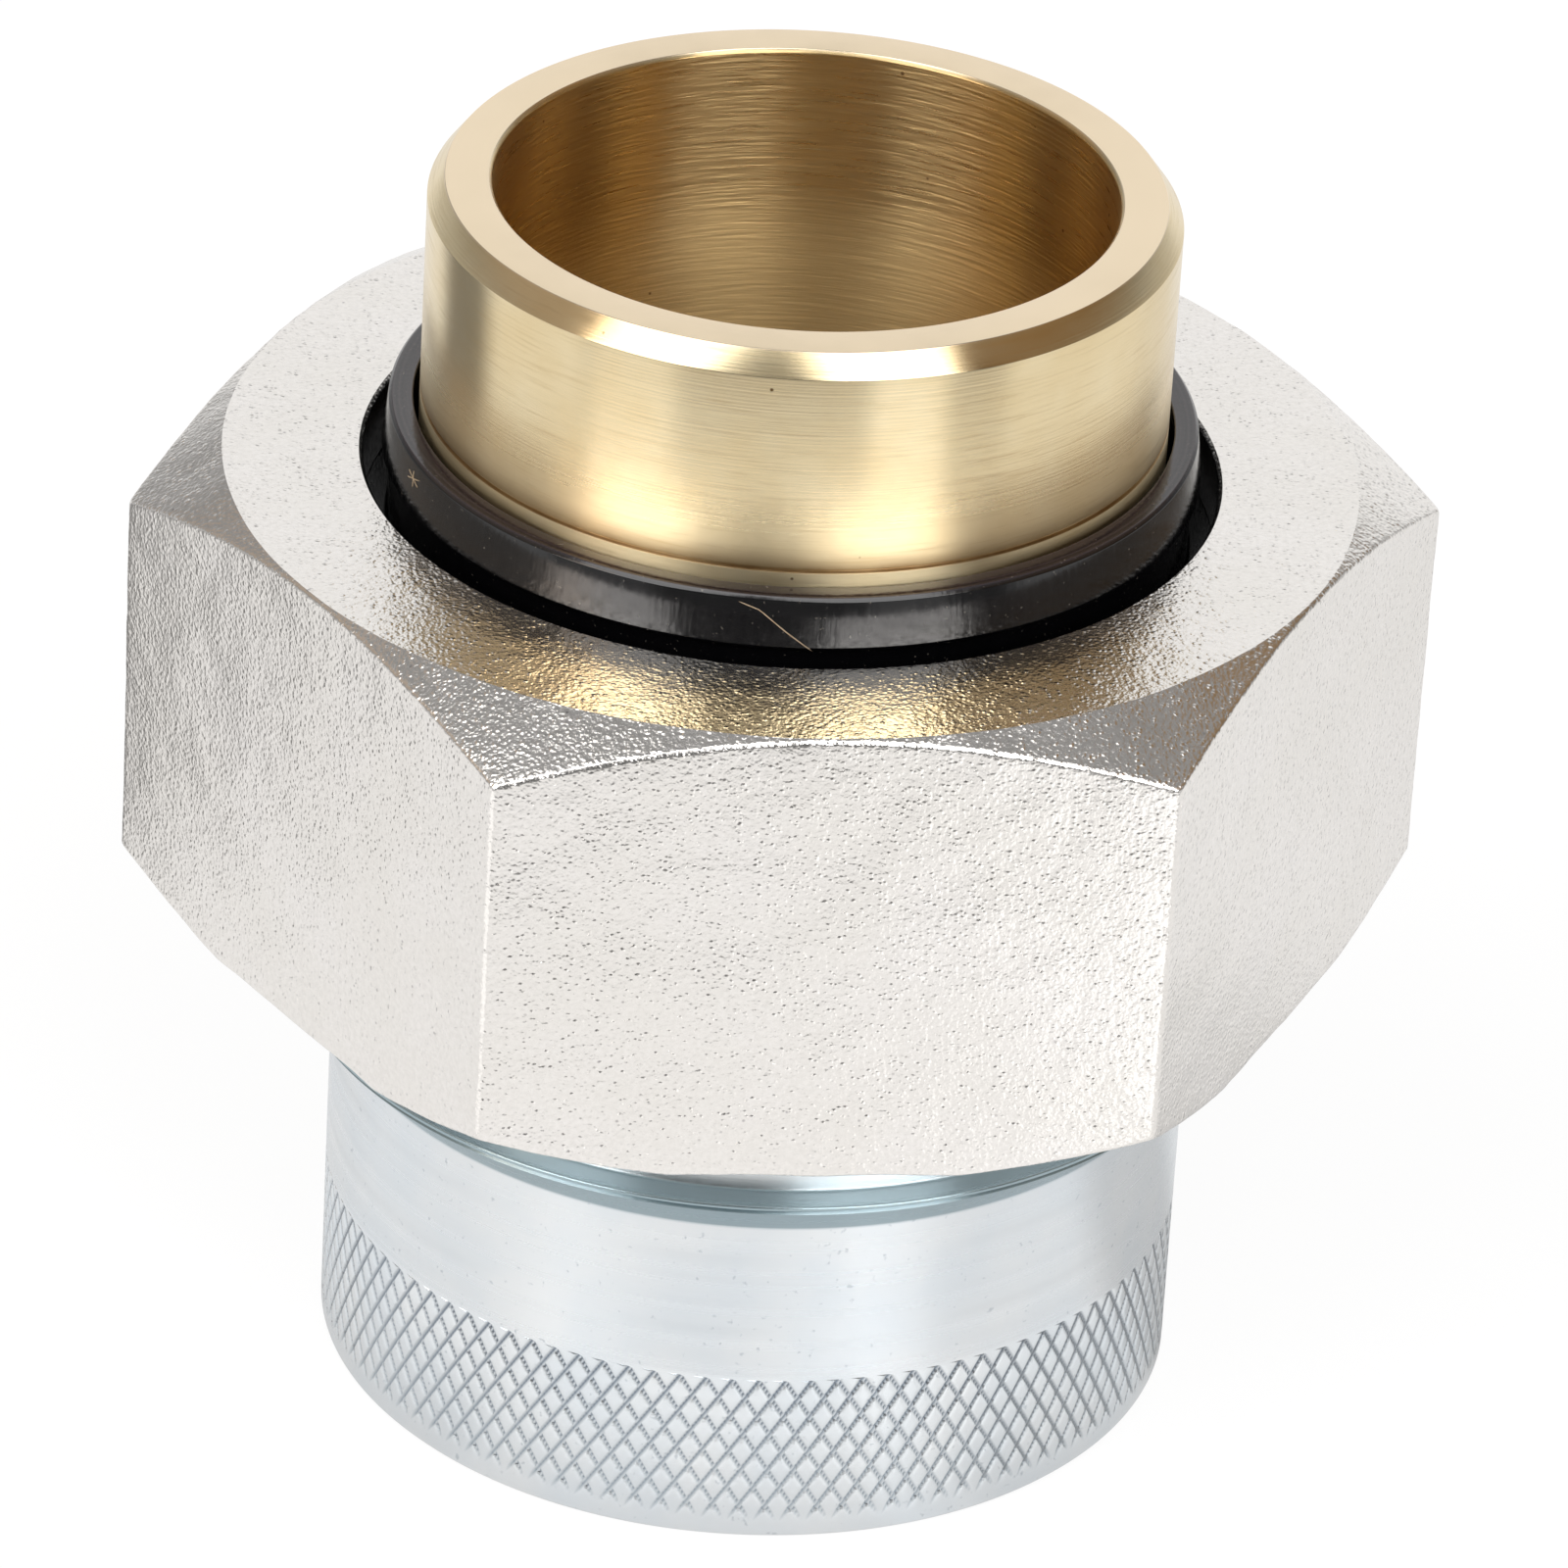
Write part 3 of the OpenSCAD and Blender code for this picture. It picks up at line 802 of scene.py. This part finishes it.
def gritty_zinc():
    """Bright zinc over the grit of a forged blank: near white, with soft hills, small round domes of random
    height, a darker grain, dark pits here and there and faint clouds. The hole's wall is darkened with
    painted shade."""
    material, tree, shader, place = new_material("gritty_zinc")
    clouds = noise(tree, place, 220, 4)
    hills = noise(tree, place, 5600, 1)
    dome, height = cells(tree, place, 5200)
    dome = compute(tree, "MULTIPLY", spread(tree, dome, 0.05, 0.55, 1.0, 0.0), height)
    grain = noise(tree, place, 5200, 2)
    pit, chance = cells(tree, place, 2700)
    pit = spread(tree, pit, 0.08, 0.2, 1.0, 0.0)
    pit = compute(tree, "MULTIPLY", pit, spread(tree, chance, 0.72, 1.0))
    tint = blend(tree, spread(tree, clouds, 0.35, 0.65), NUT_DIM, NUT_BRIGHT)
    tint = blend(tree, spread(tree, grain, 0.35, 0.65, 0.0, 0.35), tint, NUT_GRAIN)
    tint = blend(tree, spread(tree, pit, 0.0, 1.0, 0.0, 0.6), tint, NUT_PIT)
    radius = turned(tree, place)[1]
    # Painted shade inside the hole
    tint = blend(tree, ramp(tree, radius, HOLE_R + 0.02, HOLE_R + 0.1, 1.0, 0.0), tint, NUT_HOLE_SHADE)
    wire(tree, shader, Base_Color=tint, Roughness=spread(tree, clouds, 0.3, 0.7, 0.19, 0.25))
    relief = bump(tree, hills, 0.000026)
    wire(tree, shader, Normal=bump(tree, dome, 0.000022, under=relief))
    shader.inputs["Metallic"].default_value = 1.0
    return material


nut = nut_shell()
nut.data.materials.append(gritty_zinc())
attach(nut, "nut")
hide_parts("nut")

# Studio. A white table that fills the view, between white screens, under a dim ceiling with a soft
# light on either side of the camera. Bare metal mirrors the gaps between them as darker bands.
FOOT_Z = 0.0
CAMERA_TURN = 6.416
CAMERA_TIP = 29.566
CAMERA_ROLL = 3.393
CAMERA_DISTANCE = 375.09
# The point that the camera looks at, to the right of the axis and above the foot
AIM_X = 0.434
AIM_Z = 22.568
LENS = 235.21
SENSOR = 36
DEGREES = 57.2958
CEILING = 0.27
CEILING_TINT = (1.0, 0.66, 0.36)
TINTED_SIDES = [
    # from and to bearing, edge width, and share of the ceiling's tint
    (54, 138, 14, 1.0),
    (-138, -54, 14, 0.5),
]
# The tint's lowest and highest elevation, and its edge width
TINTED_BAND = (20, 48, 10)
SCREENS = [
    # from and to bearing, from and to elevation, edge width, brightness added
    (148, 200, -95, 50, 14, 0.66),
    (-200, -160, -95, 50, 12, 0.66),
    (60, 146, -95, 12, 10, 0.25),
    (-158, -60, -95, 12, 10, 0.25),
    (-62, 62, -95, 34, 10, -0.17),
    (58, 136, 8, 34, 10, -0.05),
    (-136, -58, 22, 50, 10, 0.14),
]
LIGHTS = [
    # middle bearing, half width in degrees of arc, from and to elevation, edge width, brightness added
    (-48, 16, 15, 24, 5, 7.8),
    (31, 17, 15, 24, 5, 7.8),
    (-48, 16, 24, 70, 5, 2.8),
    (31, 17, 24, 70, 5, 2.8),
]
# Painted light and shade on the table's glow, which metal mirrors: bright bands are painted reflections of
# the two lights, dark ones painted shade
TABLE_LIGHT_AND_SHADE_BANDS = [
    # from and to bearing, from and to millimetres from the axis, edge width in degrees, brightness added
    (-129, -102, 48, 2000, 12, -0.8),
    (118, 150, 45, 3000, 10, -0.07),
    (-26, 28, 5, 80, 8, 0.08),
    (80, 116, 5, 45, 16, -0.3),
    (-42, -26, 5, 45, 8, 0.06),
    (22, 36, 5, 45, 8, 0.10),
    (-60, -34, 50, 2000, 8, 0.33),
    (22, 44, 50, 2000, 8, 0.5),
    (-62, 62, 130, 3000, 8, -0.85),
]
TABLE_BAND_EDGE = 10
TABLE_HALF = 1500
TABLE_TINT = (0.85, 0.85, 0.85, 1)
TABLE_GLOW = 0.92
# Painted shadow close to the foot, where the glow is less: its share there, and the distances over which it
# rises
FOOT_SHADE = 0.7
SHADE_NEAR = 15
SHADE_FAR = 24
# The table's brightness to the camera, and the share of its own glow in what camera and metal see
SEEN_GLOW = 1.05
GLOW_SHARE = 0.85


def bearing(tree, place):
    """Bearing of a place or direction in degrees, zero towards the camera and positive to its right, and
    its height."""
    swung = add(tree, "Mapping", {"Vector": place, "Rotation": (0, 0, np.radians(CAMERA_TURN))})
    parts = add(tree, "SeparateXYZ", {0: swung.outputs[0]}).outputs
    nearness = compute(tree, "MULTIPLY", parts[1], -1.0)
    return compute(tree, "MULTIPLY", compute(tree, "ARCTAN2", parts[0], nearness), DEGREES), parts[2]


def window(tree, value, low, high, soft):
    """1 between low and high and 0 beyond them, with soft edges."""
    sides = []
    for edge, slope in ((low, soft / 2), (high, -soft / 2)):
        inputs = {"Value": value, "From Min": edge - slope, "From Max": edge + slope}
        sides.append(add(tree, "MapRange", inputs, interpolation_type="SMOOTHSTEP").outputs[0])
    return compute(tree, "MULTIPLY", *sides)


def patch(tree, total, across, along, brightness):
    """A total plus a brightness where two windows overlap."""
    return compute(tree, "MULTIPLY_ADD", compute(tree, "MULTIPLY", across, along), brightness, total)


def studio_world():
    """Surroundings as a function of direction: screens and two upright lights before a dim room, whose
    ceiling is warm to the left and right. The camera itself sees plain white behind the table."""
    world = bpy.data.worlds.new("studio")
    world.use_nodes = True
    tree = world.node_tree
    around = tree.nodes.new("ShaderNodeTexCoord").outputs["Generated"]
    angle, up = bearing(tree, around)
    rise = compute(tree, "ARCSINE", up)
    elevation = compute(tree, "MULTIPLY", rise, DEGREES)
    level = compute(tree, "COSINE", rise)
    total = CEILING
    for west, east, low, high, soft, brightness in SCREENS:
        across = window(tree, angle, west, east, soft)
        total = patch(tree, total, across, window(tree, elevation, low, high, soft), brightness)
    for middle, half, low, high, soft, brightness in LIGHTS:
        aside = compute(tree, "MULTIPLY", compute(tree, "SUBTRACT", angle, middle), level)
        across = window(tree, aside, -half, half, soft)
        total = patch(tree, total, across, window(tree, elevation, low, high, soft), brightness)
    seen = tree.nodes.new("ShaderNodeLightPath").outputs["Is Camera Ray"]
    background = tree.nodes["Background"]
    tree.links.new(compute(tree, "MAXIMUM", total, seen), background.inputs["Strength"])
    warm = 0.0
    for west, east, soft, share in TINTED_SIDES:
        warm = compute(tree, "MULTIPLY_ADD", window(tree, angle, west, east, soft), share, warm)
    warm = compute(tree, "MULTIPLY", warm, window(tree, elevation, *TINTED_BAND))
    tree.links.new(blend(tree, warm, (1, 1, 1), CEILING_TINT), background.inputs["Color"])
    bpy.context.scene.world = world


def table_top():
    """Plain white table. The camera sees it almost evenly white, under the soft shadow of what stands on
    it, and polished metal sees it as a glowing floor with painted bands of light and shade and a painted
    shadow close to the foot."""
    side = TABLE_HALF * MM
    mesh = bpy.data.meshes.new("table_top")
    corners = [(-side, -side, FOOT_Z), (side, -side, FOOT_Z), (side, side, FOOT_Z), (-side, side, FOOT_Z)]
    mesh.from_pydata(corners, [], [(0, 1, 2, 3)])
    table = bpy.data.objects.new("table_top", mesh)
    bpy.context.collection.objects.link(table)
    material, tree, shader, place = new_material("table_white")
    shader.inputs["Base Color"].default_value = TABLE_TINT
    shader.inputs["Roughness"].default_value = 1.0
    shader.inputs["Specular IOR Level"].default_value = 0.0
    angle, _ = bearing(tree, place)
    reach = add(tree, "VectorMath", {0: place}, operation="LENGTH").outputs["Value"]
    glow = TABLE_GLOW
    # Painted bands of light and shade
    for west, east, near, far, soft, brightness in TABLE_LIGHT_AND_SHADE_BANDS:
        across = window(tree, angle, west, east, soft)
        along = window(tree, reach, near * MM, far * MM, TABLE_BAND_EDGE * MM)
        glow = patch(tree, glow, across, along, brightness)
    # Painted shadow close to the foot
    glow = compute(tree, "MULTIPLY", glow, ramp(tree, reach, SHADE_NEAR, SHADE_FAR, FOOT_SHADE, 1.0))
    rays = tree.nodes.new("ShaderNodeLightPath").outputs
    glow = compute(tree, "MAXIMUM", glow, compute(tree, "MULTIPLY", rays["Is Camera Ray"], SEEN_GLOW))
    light = add(tree, "Emission", {"Color": (1, 1, 1, 1), "Strength": glow})
    share = compute(tree, "MULTIPLY", rays["Is Camera Ray"], GLOW_SHARE)
    share = compute(tree, "MULTIPLY_ADD", rays["Is Glossy Ray"], GLOW_SHARE, share)
    mix = add(tree, "MixShader", {0: share, 1: shader.outputs[0], 2: light.outputs[0]})
    tree.links.new(mix.outputs[0], tree.nodes["Material Output"].inputs["Surface"])
    mesh.materials.append(material)


def studio_camera():
    """Camera at the photograph's angle. It looks level along +Y turned by the nut's corner angle, tipped
    down by its elevation, and is rolled a little about its own line of sight."""
    turn, tip, roll = np.radians([CAMERA_TURN, CAMERA_TIP, CAMERA_ROLL])
    right = np.array([np.cos(turn), -np.sin(turn), 0])
    level = np.array([np.sin(turn), np.cos(turn), 0])
    upright = np.array([0, 0, 1.0])
    forward = np.cos(tip) * level - np.sin(tip) * upright
    up = np.sin(tip) * level + np.cos(tip) * upright
    aim = AIM_X * right + AIM_Z * upright
    rolled_right = np.cos(roll) * right + np.sin(roll) * up
    rolled_up = np.cos(roll) * up - np.sin(roll) * right
    place = (aim - CAMERA_DISTANCE * forward) * MM
    lens = bpy.data.cameras.new("camera")
    lens.sensor_width = SENSOR
    lens.lens = LENS
    lens.clip_start = 0.01
    lens.clip_end = 20
    camera = bpy.data.objects.new("camera", lens)
    bpy.context.collection.objects.link(camera)
    axes = np.stack([rolled_right, rolled_up, -forward], axis=1)
    camera.matrix_world = Matrix.Translation(place) @ Matrix(axes.tolist()).to_4x4()
    bpy.context.scene.camera = camera


studio_world()
table_top()
studio_camera()
bpy.context.scene.view_settings.view_transform = "Standard"
